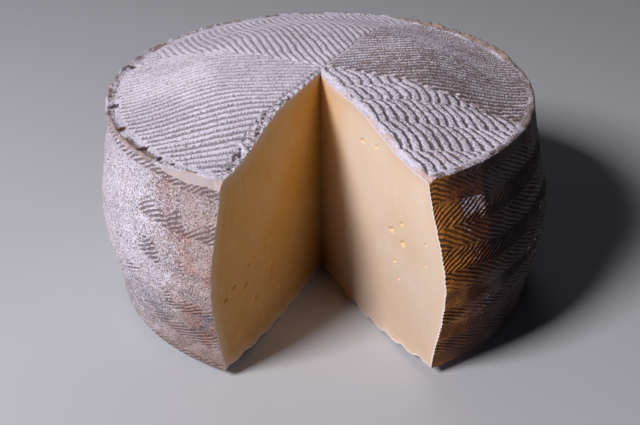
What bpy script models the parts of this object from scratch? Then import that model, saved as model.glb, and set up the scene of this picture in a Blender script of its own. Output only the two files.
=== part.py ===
# A pressed sheep's-milk cheese wheel with an imprinted natural rind and one wedge cut out.
# Metres, +Z up. The wheel stands on z = 0 and its axis is the Z axis, with the cut open towards -Y.
import math

import bmesh
import bpy
from mathutils import Vector
from mathutils.geometry import delaunay_2d_cdt

# Driving dimensions of the wheel
RIM_RADIUS = 0.0900
FOOT_RADIUS = 0.0936
BELLY = 0.0048
CENTRE_HEIGHT = 0.0971
CROWN_DROP = 0.0011
SHOULDER_DROP = 0.0092
SHOULDER_START = 0.45
SHOULDER_END = 0.95
TOP_SLOPE = 0.0186
FOOT_RISE = 0.0043
FLAT_FOOT = 0.0495
BELLY_LEAN = (0.0005, -0.0047)
FOOT_LEAN = (0.0015, -0.0039)

# The lip that the press leaves round the top, proud on the left and low elsewhere
GUTTER_RADIUS = 0.0852
GUTTER_SINK = 0.0004
LIP_INNER_RADIUS = 0.0870
LIP_CREST_RADIUS = 0.0885
LIP_HEIGHT = 0.0009
LIP_EXTRA = 0.0012
LIP_EXTRA_ANGLE = math.radians(170)
LIP_SPREAD = 0.0012
EDGE_DROP = 0.0005

# The braided band round the side, pressed in as ten rows
BRAID_ROWS = 10
ROW_GROOVE = 0.0008
SIDE_LUMPS = 0.0003
COLUMNS = 120

# The four fields of ridges on the top, round a point near the wheel's axis: each field's first and
# last angle, the direction its ridges run in, how much they bend, their pitch and their depth.
# The front right field has rows of short leaves instead: where its first row starts, how high each row
# is, how fast the rows rise to the right, how far each leaf slants and how each row is shifted.
TOP_CENTRE = (0.0020, -0.0040)
TOP_FIELDS = (
    {"from": 61.5, "to": 155.5, "along": -71.0, "bend": 0.0, "pitch": 0.0032, "depth": 0.0010},
    {"from": 155.5, "to": 241.5, "along": -4.0, "bend": -1.8, "pitch": 0.0033, "depth": 0.0009},
    {"from": -24.5, "to": 61.5, "along": 8.0, "bend": 0.0, "pitch": 0.0028, "depth": 0.0007},
    {"from": 241.5, "to": 335.5, "first": 0.0044, "row": 0.0145, "rise": 0.115, "slant": 0.0069,
     "shifts": (0.0, 0.7, 0.5, -0.1, -0.1, 0.0), "pitch": 0.00385, "depth": 0.0013},
)
EDGE_FADE = 0.0009
LEAF_TIP = 0.08
LEAF_PARTS = (0.12, 0.5, 0.88)
RIDGE_END_RADIUS = 0.0838

# How closely points are set along the fields' edges and along the ridges, and a step to test along them
EDGE_SPACING = 0.0030
TOP_SPACING = 0.0125
FOOT_SPACING = 0.0180
PROBE = 0.0006
GAP_MARGIN = 0.0040

# The coarser ridges pressed into the underside, flat on their tops, round a plain middle
FOOT_CENTRE = (0.0, 0.0)
FOOT_FIELDS = tuple(
    {"from": start, "to": start + 90.0, "along": along, "bend": 0.0, "pitch": 0.0058, "depth": 0.0011}
    for start, along in ((45.0, 90.0), (135.0, 0.0), (225.0, 90.0), (-45.0, 0.0))
)
FOOT_CREST = 0.30
FOOT_PLAIN_RADIUS = 0.0120
FOOT_PLAIN_STEPS = 24
FOOT_RING_RADIUS = 0.0905
FOOT_RIDGE_END = 0.0885
FOOT_ROUND = 0.0006

# The wedge: where the two cuts meet, their angles each side of -Y, and how far each face swells
CUT_APEX = (-0.0001, -0.0103)
CUTS = {
    "left": {"angle": math.radians(-26.4), "swell": 0.0007},
    "right": {"angle": math.radians(28.4), "swell": -0.0022},
}
CUT_REACH = 0.115
CUT_STEPS = 9
CUT_BELOW = 0.020
CUT_ABOVE = 0.030

# Eyes in the paste: distance from the apex, height, width, height of the eye and depth, in millimetres
EYES = {
    "left": ((48.0, 30.9, 4.6, 3.6, 2.2), (69.3, 34.1, 4.0, 2.4, 1.6), (76.9, 38.1, 3.6, 1.8, 1.2),
             (82.8, 35.9, 3.0, 2.0, 1.2), (62.6, 23.4, 3.0, 2.4, 1.4), (42.3, 15.5, 3.4, 2.4, 1.4),
             (66.0, 41.6, 1.8, 1.2, 0.8), (61.5, 42.8, 1.6, 1.2, 0.8)),
    "right": ((60.3, 53.4, 3.6, 2.0, 1.4), (66.6, 59.2, 2.6, 1.6, 1.0), (67.7, 51.0, 3.6, 2.2, 1.4),
              (63.0, 40.5, 2.0, 1.4, 0.9), (81.4, 48.8, 2.0, 1.2, 0.9), (81.3, 58.0, 1.8, 1.2, 0.8),
              (38.1, 82.2, 2.6, 1.6, 1.0), (48.4, 84.1, 2.4, 1.4, 0.9), (66.0, 34.0, 1.8, 1.4, 0.8)),
}


def smooth_step(value):
    value = min(max(value, 0.0), 1.0)
    return value * value * (3 - 2 * value)


def material(name, colour, roughness):
    made = bpy.data.materials.new(name)
    made.use_nodes = True
    shader = made.node_tree.nodes["Principled BSDF"]
    shader.inputs["Base Color"].default_value = (*colour, 1.0)
    shader.inputs["Roughness"].default_value = roughness
    shader.inputs["Metallic"].default_value = 0.0
    made.diffuse_color = (*colour, 1.0)
    return made


# Fields of ridges

def wrapped(angle, start):
    """The angle in degrees, brought into the turn that begins at start."""
    return (angle - start) % 360.0 + start


def field_at(x, y, fields, centre):
    """The field of ridges that holds a point, and how far the point is from the field's edges."""
    dx, dy = x - centre[0], y - centre[1]
    turn = math.degrees(math.atan2(dy, dx))
    for field in fields:
        inside = wrapped(turn, field["from"])
        if inside <= field["to"]:
            gap = min(inside - field["from"], field["to"] - inside, 90.0)
            return field, math.hypot(dx, dy) * math.sin(math.radians(gap))
    return fields[-1], 0.0


def across_straight(x, y, field, centre):
    """How many pitches a point lies across a field's straight ridges."""
    along = math.radians(field["along"])
    dx, dy = x - centre[0], y - centre[1]
    run = dx * math.cos(along) + dy * math.sin(along)
    return (dy * math.cos(along) - dx * math.sin(along) - field["bend"] * run**2) / field["pitch"]


def leaf_x(field, row, across, part, centre):
    """Where a leaf is sideways, so far down its row: it starts slanting and ends upright."""
    shift = field["shifts"][min(max(row, 0), len(field["shifts"]) - 1)]
    return centre[0] + (across + shift) * field["pitch"] + field["slant"] * part * (2 - part)


def across_leaves(x, y, field, centre):
    """How many pitches a point lies across the slanting leaves, and how far down its row of them."""
    down = (field["first"] + field["rise"] * x - y) / field["row"]
    row = math.floor(down)
    part = down - row
    return (x - leaf_x(field, row, 0.0, part, centre)) / field["pitch"], part


# The top surface

def top_relief(x, y):
    """Height of the pressed ridges against the smooth top: crests stand up, grooves and edges sink."""
    field, gap = field_at(x, y, TOP_FIELDS, TOP_CENTRE)
    end = smooth_step(gap / EDGE_FADE)
    if "row" in field:
        across, part = across_leaves(x, y, field, TOP_CENTRE)
        end *= smooth_step(min(part, 1 - part) / LEAF_TIP)
    else:
        across = across_straight(x, y, field, TOP_CENTRE)
    return 0.5 * field["depth"] * (end * (1 + math.cos(2 * math.pi * across)) - 1)


def top_height(x, y):
    """Height of the smooth domed top, which drops at its shoulder."""
    share = math.hypot(x, y) / RIM_RADIUS
    shoulder = smooth_step((share - SHOULDER_START) / (SHOULDER_END - SHOULDER_START))
    return CENTRE_HEIGHT - CROWN_DROP * share**2 - SHOULDER_DROP * shoulder + TOP_SLOPE * y


def lip_share(angle):
    """How proud the lip stands at an angle, from 0 on the right to about 1 on the left, in lumps."""
    lumps = 0.75 + 0.25 * math.sin(7 * angle) * math.sin(4 * angle)
    return max(0.0, math.cos(angle - LIP_EXTRA_ANGLE)) * lumps


def lip_height(angle):
    return LIP_HEIGHT + LIP_EXTRA * lip_share(angle)


# The underside

def foot_height(x, y, ridged=True):
    """Height of the underside: zero on the ridges' flat tops, and curling up towards the edge."""
    distance = math.hypot(x, y)
    height = FOOT_RISE * max(0.0, (distance - FLAT_FOOT) / (FOOT_RADIUS - FLAT_FOOT))**2
    if ridged and distance > FOOT_PLAIN_RADIUS:
        field, _ = field_at(x, y, FOOT_FIELDS, FOOT_CENTRE)
        across = across_straight(x, y, field, FOOT_CENTRE)
        dip = FOOT_CREST - min(FOOT_CREST, math.cos(2 * math.pi * across))
        height += field["depth"] * dip / (1 + FOOT_CREST)
    return height


# The side

def side_point(angle, share):
    """A point of the side: share runs from 0 at the foot to 1 at the rim."""
    radius = FOOT_RADIUS + (RIM_RADIUS - FOOT_RADIUS) * share + BELLY * math.sin(math.pi * share)**2
    groove = abs(math.sin(math.pi * BRAID_ROWS * share))
    fade = math.sin(math.pi * share)**0.5 if 0 < share < 1 else 0.0
    radius -= ROW_GROOVE * groove * fade
    radius += SIDE_LUMPS * fade * (math.sin(3 * angle + 9 * share) + 0.6 * math.sin(8 * angle - 14 * share))
    middle = 4 * share * (1 - share)
    x = radius * math.cos(angle) + BELLY_LEAN[0] * middle + FOOT_LEAN[0] * (1 - share)
    y = radius * math.sin(angle) + BELLY_LEAN[1] * middle + FOOT_LEAN[1] * (1 - share)
    rim = top_height(RIM_RADIUS * math.cos(angle), RIM_RADIUS * math.sin(angle))
    return Vector((x, y, FOOT_RISE + (rim - EDGE_DROP - FOOT_RISE) * share))


def ring(radius, height, centre=(0.0, 0.0), spread=0.0):
    """One ring of points round the wheel; height is a function of the angle and the place."""
    points = []
    for step in range(COLUMNS):
        angle = 2 * math.pi * step / COLUMNS
        reach = radius + spread * lip_share(angle)
        x = centre[0] + reach * math.cos(angle)
        y = centre[1] + reach * math.sin(angle)
        points.append(Vector((x, y, height(angle, x, y))))
    return points


# Lines of points over the ridged faces, which the triangles' edges follow

def in_gap(x, y):
    """Whether a point lies in the wedge, well clear of both cuts."""
    dx, dy = x - CUT_APEX[0], y - CUT_APEX[1]
    turn = math.atan2(dx, -dy)
    low, high = CUTS["left"]["angle"], CUTS["right"]["angle"]
    if not low < turn < high:
        return False
    return math.hypot(dx, dy) * math.sin(min(turn - low, high - turn)) > GAP_MARGIN


def line_pieces(place, length, spacing, wanted):
    """The stretches of a line that are wanted, as points about a spacing apart; place gives its points."""
    pieces = []
    begin = None
    probes = int(length / PROBE)
    for probe in range(-probes, probes + 2):
        run = probe * PROBE
        good = probe <= probes and wanted(*place(run))
        if good and begin is None:
            begin = run
        if not good and begin is not None:
            end = run - PROBE
            steps = max(1, round((end - begin) / spacing))
            if end - begin > 2 * PROBE:
                pieces.append([place(begin + (end - begin) * step / steps) for step in range(steps + 1)])
            begin = None
    return pieces


def straight_lines(field, fields, centre, offsets, spacing, wanted):
    """Lines along a field's straight ridges, at the given shares of the pitch across them."""
    along = math.radians(field["along"])
    count = int(2 * RIM_RADIUS / field["pitch"])
    lines = []
    for line in range(-count, count + 1):
        for offset in offsets:
            middle = (line + offset) * field["pitch"]

            def place(run):
                across = middle + field["bend"] * run**2
                return (centre[0] + run * math.cos(along) - across * math.sin(along),
                        centre[1] + run * math.sin(along) + across * math.cos(along))

            def here(x, y):
                found, gap = field_at(x, y, fields, centre)
                return found is field and gap > EDGE_FADE and wanted(x, y)

            lines += line_pieces(place, 2 * RIM_RADIUS, spacing, here)
    return lines


def leaf_lines(field, fields, centre, wanted):
    """One short line for each crest and groove of the leaves, and the lines between their rows."""
    lines = []
    rows = int(2 * RIM_RADIUS / field["row"])
    halves = int(4 * RIM_RADIUS / field["pitch"])

    def here(x, y):
        found, gap = field_at(x, y, fields, centre)
        return found is field and gap > EDGE_FADE and wanted(x, y)

    for row in range(rows):
        level = field["first"] - row * field["row"]

        def between(run):
            return run, level + field["rise"] * run

        lines += line_pieces(between, 2 * RIM_RADIUS, field["pitch"], here)
        for half in range(-halves, halves + 1):
            leaf = []
            for part in LEAF_PARTS:
                x = leaf_x(field, row, half * 0.5, part, centre)
                y = level + field["rise"] * x - part * field["row"]
                if here(x, y):
                    leaf.append((x, y))
            lines.append(leaf)
    return lines


def edge_lines(fields, centre, wanted):
    """Lines along the edges where two fields meet, out from the pattern's centre."""
    lines = []
    for field in fields:
        turn = math.radians(field["from"])
        step_x, step_y = EDGE_SPACING * math.cos(turn), EDGE_SPACING * math.sin(turn)
        line = []
        for step in range(1, int(2 * RIM_RADIUS / EDGE_SPACING)):
            x, y = centre[0] + step * step_x, centre[1] + step * step_y
            if not wanted(x, y):
                break
            line.append((x, y))
        lines.append(line)
    return lines


def top_lines():
    def wanted(x, y):
        return math.hypot(x, y) < RIDGE_END_RADIUS and not in_gap(x, y)

    lines = edge_lines(TOP_FIELDS, TOP_CENTRE, wanted) + [[TOP_CENTRE]]
    for field in TOP_FIELDS:
        if "row" in field:
            lines += leaf_lines(field, TOP_FIELDS, TOP_CENTRE, wanted)
        else:
            lines += straight_lines(field, TOP_FIELDS, TOP_CENTRE, (0.0, 0.5), TOP_SPACING, wanted)
    return lines


def foot_lines():
    def wanted(x, y):
        plain = math.hypot(x, y) < FOOT_PLAIN_RADIUS + PROBE
        beyond = math.hypot(x - FOOT_LEAN[0], y - FOOT_LEAN[1]) > FOOT_RIDGE_END
        return not (plain or beyond or in_gap(x, y))

    half = math.acos(FOOT_CREST) / (2 * math.pi)
    lines = []
    for field in FOOT_FIELDS:
        lines += straight_lines(field, FOOT_FIELDS, FOOT_CENTRE, (-half, half, 0.5), FOOT_SPACING, wanted)
    turns = [2 * math.pi * step / FOOT_PLAIN_STEPS for step in range(FOOT_PLAIN_STEPS + 1)]
    plain = FOOT_PLAIN_RADIUS
    lines.append([(plain * math.cos(turn), plain * math.sin(turn)) for turn in turns])
    return lines


def fill(mesh, lines, rim_verts, height, downwards):
    """Closes a round face with triangles whose edges follow the rim and the lines inside it."""
    points = [vert.co.xy for vert in rim_verts]
    edges = [(step, (step + 1) % len(points)) for step in range(len(points))]
    for line in lines:
        first = len(points)
        points += [Vector(point) for point in line]
        edges += [(index, index + 1) for index in range(first, len(points) - 1)]
    placed, _, faces, _, _, _ = delaunay_2d_cdt(points, edges, [], 1, 1e-6)
    verts = list(rim_verts)
    for point in placed[len(rim_verts):]:
        verts.append(mesh.verts.new((point.x, point.y, height(point.x, point.y))))
    for face in faces:
        corners = [verts[index] for index in face]
        mesh.faces.new(reversed(corners) if downwards else corners)


def wheel_mesh(name):
    """The whole wheel before it is cut: ridged top, lip, braided side and ridged underside."""
    mesh = bmesh.new()
    rings = [
        ring(GUTTER_RADIUS, lambda angle, x, y: top_height(x, y) - GUTTER_SINK),
        ring(LIP_INNER_RADIUS, lambda angle, x, y: top_height(x, y) + 0.6 * lip_height(angle)),
        ring(LIP_CREST_RADIUS, lambda angle, x, y: top_height(x, y) + lip_height(angle), spread=LIP_SPREAD),
        ring(RIM_RADIUS, lambda angle, x, y: top_height(x, y), spread=LIP_SPREAD),
    ]
    for row in range(1, 2 * BRAID_ROWS):
        share = 1 - row / (2 * BRAID_ROWS)
        rings.append([side_point(2 * math.pi * step / COLUMNS, share) for step in range(COLUMNS)])
    rings.append(ring(FOOT_RADIUS - FOOT_ROUND, lambda angle, x, y: FOOT_RISE + FOOT_ROUND, FOOT_LEAN))
    rings.append(ring(FOOT_RING_RADIUS, lambda angle, x, y: foot_height(x, y, False), FOOT_LEAN))
    placed = [[mesh.verts.new(point) for point in row] for row in rings]
    for upper, lower in zip(placed, placed[1:]):
        for step in range(COLUMNS):
            after = (step + 1) % COLUMNS
            mesh.faces.new((upper[step], lower[step], lower[after], upper[after]))

    fill(mesh, top_lines(), placed[0], lambda x, y: top_height(x, y) + top_relief(x, y), False)
    fill(mesh, foot_lines(), placed[-1], foot_height, True)

    bmesh.ops.recalc_face_normals(mesh, faces=mesh.faces)
    data = bpy.data.meshes.new(name)
    mesh.to_mesh(data)
    mesh.free()
    return data


# The cuts

def cut_point(side, distance):
    """A point on a cut in plan, so far from the apex, and the direction that its paste faces."""
    cut = CUTS[side]
    along = Vector((math.sin(cut["angle"]), -math.cos(cut["angle"])))
    across = Vector((-along.y, along.x))
    share = distance / RIM_RADIUS
    place = Vector(CUT_APEX) + along * distance + across * (4 * cut["swell"] * share * (1 - share))
    facing = across if side == "left" else -across
    return place, facing


def wedge_mesh(name):
    """The wedge that is cut out, longer than the wheel's radius and taller than the wheel."""
    outline = [Vector(CUT_APEX)]
    distances = [CUT_REACH * step / CUT_STEPS for step in range(1, CUT_STEPS + 1)]
    outline += [cut_point("left", distance)[0] for distance in distances]
    outline += [cut_point("right", distance)[0] for distance in reversed(distances)]
    mesh = bmesh.new()
    lower = [mesh.verts.new((point.x, point.y, -CUT_BELOW)) for point in outline]
    face = mesh.faces.new(lower)
    grown = bmesh.ops.extrude_face_region(mesh, geom=[face])
    raised = [item for item in grown["geom"] if isinstance(item, bmesh.types.BMVert)]
    bmesh.ops.translate(mesh, verts=raised, vec=(0, 0, CUT_BELOW + CENTRE_HEIGHT + CUT_ABOVE))
    bmesh.ops.recalc_face_normals(mesh, faces=mesh.faces)
    data = bpy.data.meshes.new(name)
    mesh.to_mesh(data)
    mesh.free()
    return data


def eyes_mesh(name):
    """All the eyes as flattened balls, each with its middle on its cut."""
    mesh = bmesh.new()
    for side, eyes in EYES.items():
        for eye in eyes:
            distance, height, width, tall, deep = (value * 0.001 for value in eye)
            place, facing = cut_point(side, distance)
            ball = bmesh.ops.create_icosphere(mesh, subdivisions=1 if width < 0.0025 else 2, radius=1.0)
            for vert in ball["verts"]:
                along = Vector((-facing.y, facing.x)) * vert.co.x * width / 2
                spot = place + along + facing * vert.co.y * deep
                vert.co = (spot.x, spot.y, height + vert.co.z * tall / 2)
    bmesh.ops.recalc_face_normals(mesh, faces=mesh.faces)
    data = bpy.data.meshes.new(name)
    mesh.to_mesh(data)
    mesh.free()
    return data


def add(name, data, *materials):
    made = bpy.data.objects.new(name, data)
    for each in materials:
        data.materials.append(each)
    bpy.context.scene.collection.objects.link(made)
    return made


def cut_with(body, cutter, name):
    """Takes the cutter out of the body; the cut faces get the cutter's material."""
    cutter.hide_render = True
    cutter.display_type = "WIRE"
    boolean = body.modifiers.new(name, "BOOLEAN")
    boolean.operation = "DIFFERENCE"
    boolean.solver = "EXACT"
    boolean.material_mode = "TRANSFER"
    boolean.object = cutter


def build():
    for old in list(bpy.data.objects):
        bpy.data.objects.remove(old, do_unlink=True)
    rind = material("natural rind", (0.56, 0.48, 0.42), 0.85)
    paste = material("pressed paste", (0.80, 0.62, 0.38), 0.55)
    wheel = add("cheese_wheel", wheel_mesh("cheese_wheel"), rind, paste)
    wheel.data.shade_smooth()
    wheel.data.set_sharp_from_angle(angle=math.radians(18))
    cut_with(wheel, add("wedge_cutter", wedge_mesh("wedge_cutter"), paste), "wedge")
    cut_with(wheel, add("eye_cutter", eyes_mesh("eye_cutter"), paste), "eyes")


build()
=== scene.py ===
# %% [markdown]
# # A pressed cheese wheel with one wedge cut out
# A young sheep's-milk cheese is pressed in a mould lined with a plaited grass band. The band leaves a
# braid of slanting strokes round the side, and the carved boards above and below leave fields of ridges.
# The rind then grows a pale bloom of mould over a brown and amber ground, and a knife takes one wedge.
#
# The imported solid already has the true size, the main relief and the cut. Here it is dressed: the same
# surfaces are made again as fine meshes, from the same measurements, with the small strokes, dashes,
# crumbs and eyes that the solid leaves out. Lengths are in metres and angles in degrees.

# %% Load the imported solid
import math

import bpy
import numpy as np
from mathutils import Matrix, Vector
from mathutils.geometry import delaunay_2d_cdt


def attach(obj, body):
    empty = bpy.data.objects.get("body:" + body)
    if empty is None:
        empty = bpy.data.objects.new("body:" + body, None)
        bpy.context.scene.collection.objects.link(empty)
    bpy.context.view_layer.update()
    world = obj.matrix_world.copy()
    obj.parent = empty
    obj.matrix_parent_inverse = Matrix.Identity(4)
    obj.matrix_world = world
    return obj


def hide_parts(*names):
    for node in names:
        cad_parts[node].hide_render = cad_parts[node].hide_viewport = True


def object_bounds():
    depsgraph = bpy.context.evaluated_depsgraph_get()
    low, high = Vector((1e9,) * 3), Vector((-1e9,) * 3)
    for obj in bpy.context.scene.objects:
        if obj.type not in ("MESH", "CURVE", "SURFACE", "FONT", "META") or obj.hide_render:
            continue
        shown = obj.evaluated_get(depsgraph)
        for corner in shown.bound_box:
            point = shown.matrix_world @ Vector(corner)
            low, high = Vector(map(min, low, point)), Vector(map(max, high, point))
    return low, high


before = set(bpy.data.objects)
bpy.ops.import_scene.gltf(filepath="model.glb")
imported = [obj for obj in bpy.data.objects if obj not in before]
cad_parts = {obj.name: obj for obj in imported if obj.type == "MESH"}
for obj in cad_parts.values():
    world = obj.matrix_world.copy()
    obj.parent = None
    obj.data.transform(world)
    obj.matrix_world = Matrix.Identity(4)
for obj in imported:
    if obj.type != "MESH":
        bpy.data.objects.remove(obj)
solid_low, solid_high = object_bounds()
print("the solid is", [round(1000 * side, 1) for side in solid_high - solid_low], "mm")

# %% [markdown]
# ## The camera
# The wheel is seen from the side of the cut, a little above it. A normal lens near the object gives the
# strong narrowing towards the foot. The view is built from three plain angles: how far the camera pans,
# how far it tilts down and how far it leans, because those can be read and changed one at a time. The
# plain view transform shows the colours of the materials as they are set, without a film-like curve.

# %% Camera
CAMERA_PLACE = (0.0, -0.35435, 0.23743)
CAMERA_PAN = math.radians(-0.16159)
CAMERA_TILT = math.radians(31.20683)
CAMERA_ROLL = math.radians(-0.79509)
CAMERA_LENS = 50
CAMERA_SENSOR = 36

level = Vector((math.cos(CAMERA_PAN), -math.sin(CAMERA_PAN), 0.0))
ahead = Vector((math.sin(CAMERA_PAN), math.cos(CAMERA_PAN), 0.0)) * math.cos(CAMERA_TILT)
ahead.z = -math.sin(CAMERA_TILT)
above = level.cross(ahead)
right = level * math.cos(CAMERA_ROLL) + above * math.sin(CAMERA_ROLL)
up = above * math.cos(CAMERA_ROLL) - level * math.sin(CAMERA_ROLL)

camera_data = bpy.data.cameras.new("camera")
camera_data.lens = CAMERA_LENS
camera_data.sensor_width = CAMERA_SENSOR
camera = bpy.data.objects.new("camera", camera_data)
camera.matrix_world = Matrix.Translation(CAMERA_PLACE) @ Matrix((right, up, -ahead)).transposed().to_4x4()
bpy.context.scene.collection.objects.link(camera)
bpy.context.scene.camera = camera
bpy.context.scene.view_settings.view_transform = "Standard"
print("the camera looks down", round(math.degrees(CAMERA_TILT), 1), "degrees")

# %% [markdown]
# ## The light and the floor
# One large soft light stands at the front left, about forty degrees up, so it rakes over the ridges,
# fills the right-hand cut with light and leaves the left-hand cut in shade. The pale surroundings are
# dim, which keeps the shade deep and lets the light that bounces between the two cuts colour it.

# %% Light and floor
KEY_PLACE = (-0.75, -0.53, 0.84)
KEY_TARGET = (0.0, 0.0, 0.05)
KEY_SIZE = 0.34
KEY_WATTS = 16.0
KEY_COLOUR = (1.0, 0.97, 1.0)
BACK_PLACE = (0.10, 0.80, 0.75)
BACK_WATTS = 0.3
ROOM_COLOUR = (0.80, 0.80, 0.92)
ROOM_STRENGTH = 0.016
FLOOR_REACH = 3.0
FLOOR_COLOUR = (0.52, 0.53, 0.56)
FLOOR_ROUGHNESS = 0.7


def soft_light(name, place, target, size, watts, colour):
    """A square soft light that shines from a place to a target."""
    data = bpy.data.lights.new(name, "AREA")
    data.size = size
    data.energy = watts
    data.color = colour
    lamp = bpy.data.objects.new(name, data)
    lamp.location = place
    lamp.rotation_euler = (Vector(target) - Vector(place)).to_track_quat("-Z", "Y").to_euler()
    bpy.context.scene.collection.objects.link(lamp)


soft_light("key_light", KEY_PLACE, KEY_TARGET, KEY_SIZE, KEY_WATTS, KEY_COLOUR)
soft_light("back_light", BACK_PLACE, KEY_TARGET, KEY_SIZE, BACK_WATTS, KEY_COLOUR)

room = bpy.data.worlds.new("room")
room.use_nodes = True
room.node_tree.nodes["Background"].inputs["Color"].default_value = (*ROOM_COLOUR, 1.0)
room.node_tree.nodes["Background"].inputs["Strength"].default_value = ROOM_STRENGTH
bpy.context.scene.world = room

floor_mesh = bpy.data.meshes.new("floor")
corners = [(-FLOOR_REACH, -FLOOR_REACH, 0), (FLOOR_REACH, -FLOOR_REACH, 0),
           (FLOOR_REACH, FLOOR_REACH, 0), (-FLOOR_REACH, FLOOR_REACH, 0)]
floor_mesh.from_pydata(corners, [], [(0, 1, 2, 3)])
floor = bpy.data.objects.new("floor", floor_mesh)
bpy.context.scene.collection.objects.link(floor)
floor_paint = bpy.data.materials.new("pale floor")
floor_paint.use_nodes = True
floor_shader = floor_paint.node_tree.nodes["Principled BSDF"]
floor_shader.inputs["Base Color"].default_value = (*FLOOR_COLOUR, 1.0)
floor_shader.inputs["Roughness"].default_value = FLOOR_ROUGHNESS
floor_mesh.materials.append(floor_paint)
print("one key light, one weak back light and a dim pale room")

# %% [markdown]
# ## Numbers that crumble
# A rind is never even, so nearly every measurement gets a little repeatable noise. The noise here is
# drawn on a lattice of whole-number places and blended smoothly between them. It works on whole arrays
# at once, which matters with some hundred thousand points, and it gives the same wheel every time.
#
# Each noise has a size, in metres, and a seed, which is a number that picks its random draws.

# %% Noise and soft steps
PLACE_FACTORS = (73856093, 19349663, 83492791)
SEED_FACTOR = 2654435761
STIRS = ((15, 2246822519), (13, 3266489917))
LAST_STIR = 16
ALL_BITS = 0xFFFFFFFF


def smooth_step(value):
    """0 below 0, 1 above 1 and a soft curve between."""
    value = np.clip(value, 0.0, 1.0)
    return value * value * (3 - 2 * value)


def between(value, low, high, blur):
    """1 from low to high, falling to 0 over the blur outside them."""
    return smooth_step((value - low) / blur + 1) * smooth_step((high - value) / blur + 1)


def bump(value, middle, width):
    """A soft bell, 1 at the middle."""
    return np.exp(-((value - middle) / width) ** 2)


def draw(x, y, z, seed):
    """A repeatable random number from 0 to 1 for each whole-number place."""
    mixed = (x * PLACE_FACTORS[0]) ^ (y * PLACE_FACTORS[1]) ^ (z * PLACE_FACTORS[2]) ^ (seed * SEED_FACTOR)
    mixed = (mixed & ALL_BITS).astype(np.uint64)
    for shift, factor in STIRS:
        mixed = ((mixed ^ (mixed >> np.uint64(shift))) * np.uint64(factor)) & np.uint64(ALL_BITS)
    return (mixed ^ (mixed >> np.uint64(LAST_STIR))) / float(ALL_BITS)


def lumps(x, y, z, size, seed):
    """Smooth noise from -1 to 1 whose lumps are about size across."""
    places = [np.asarray(value, float) / size for value in np.broadcast_arrays(x, y, z)]
    cells = [np.floor(place).astype(np.int64) for place in places]
    parts = [smooth_step(place - cell) for place, cell in zip(places, cells)]
    total = 0.0
    for corner in range(8):
        steps = (corner & 1, (corner >> 1) & 1, corner >> 2)
        weight = 1.0
        for part, step in zip(parts, steps):
            weight = weight * (part if step else 1 - part)
        total = total + weight * draw(*(cell + step for cell, step in zip(cells, steps)), seed)
    return 2 * total - 1


def grain(x, y, z, size, seed, layers=3):
    """Noise in layers, each half the size and half the height of the one before."""
    total = 0.0
    for layer in range(layers):
        total = total + lumps(x, y, z, size / 2**layer, seed + layer) / 2**layer
    return total


sample = grain(np.linspace(0, 0.05, 500), 0.0, 0.0, 0.004, 1)
print("noise runs from", round(float(sample.min()), 2), "to", round(float(sample.max()), 2))

# %% [markdown]
# ## Rays from the point of the cut
# A wedge-shaped gap is awkward for a grid of squares. Rays that fan out from the knife's point, from
# the right cut round the back to the left cut, end exactly on both cuts and need no trimming. Near each
# cut the rays swell a little, because neither stroke of the knife was quite straight.

# %% The cuts and the rays
RIM_RADIUS = 0.0900
CUT_POINT = (-0.0001, -0.0103)
RIGHT_CUT = math.radians(-90 + 28.4)
LEFT_CUT = math.radians(270 - 26.4)
RIGHT_SWELL = -0.0022
LEFT_SWELL = 0.0007
SWELL_FADE = 0.10
LENGTH_ROUNDS = 12


def ray_point(share, distance):
    """Plan position at a distance along a ray; the ray's share runs from 0, right cut, to 1, left cut."""
    turn = RIGHT_CUT + share * (LEFT_CUT - RIGHT_CUT)
    swell = RIGHT_SWELL * smooth_step(1 - share / SWELL_FADE)
    swell = swell + LEFT_SWELL * smooth_step(1 - (1 - share) / SWELL_FADE)
    part = distance / RIM_RADIUS
    aside = 4 * swell * part * (1 - part)
    x = CUT_POINT[0] + distance * np.cos(turn) - aside * np.sin(turn)
    y = CUT_POINT[1] + distance * np.sin(turn) + aside * np.cos(turn)
    return x, y


def turn_of(x, y):
    """Angle round the wheel's axis in degrees, from -90 at the front through the right and back to 270."""
    return (np.degrees(np.arctan2(y, x)) + 90) % 360 - 90


def ray_length(share, radius_at, centre=(0.0, 0.0)):
    """How far along each ray an edge lies whose radius round a centre depends on the angle."""
    distance = np.full(np.broadcast(share, centre[0]).shape, RIM_RADIUS)
    for _ in range(LENGTH_ROUNDS):
        x, y = ray_point(share, distance)
        x, y = x - centre[0], y - centre[1]
        distance = distance + radius_at(turn_of(x, y)) - np.hypot(x, y)
    return distance


print("the gap is", round(360 - math.degrees(LEFT_CUT - RIGHT_CUT), 1), "degrees wide")
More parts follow.
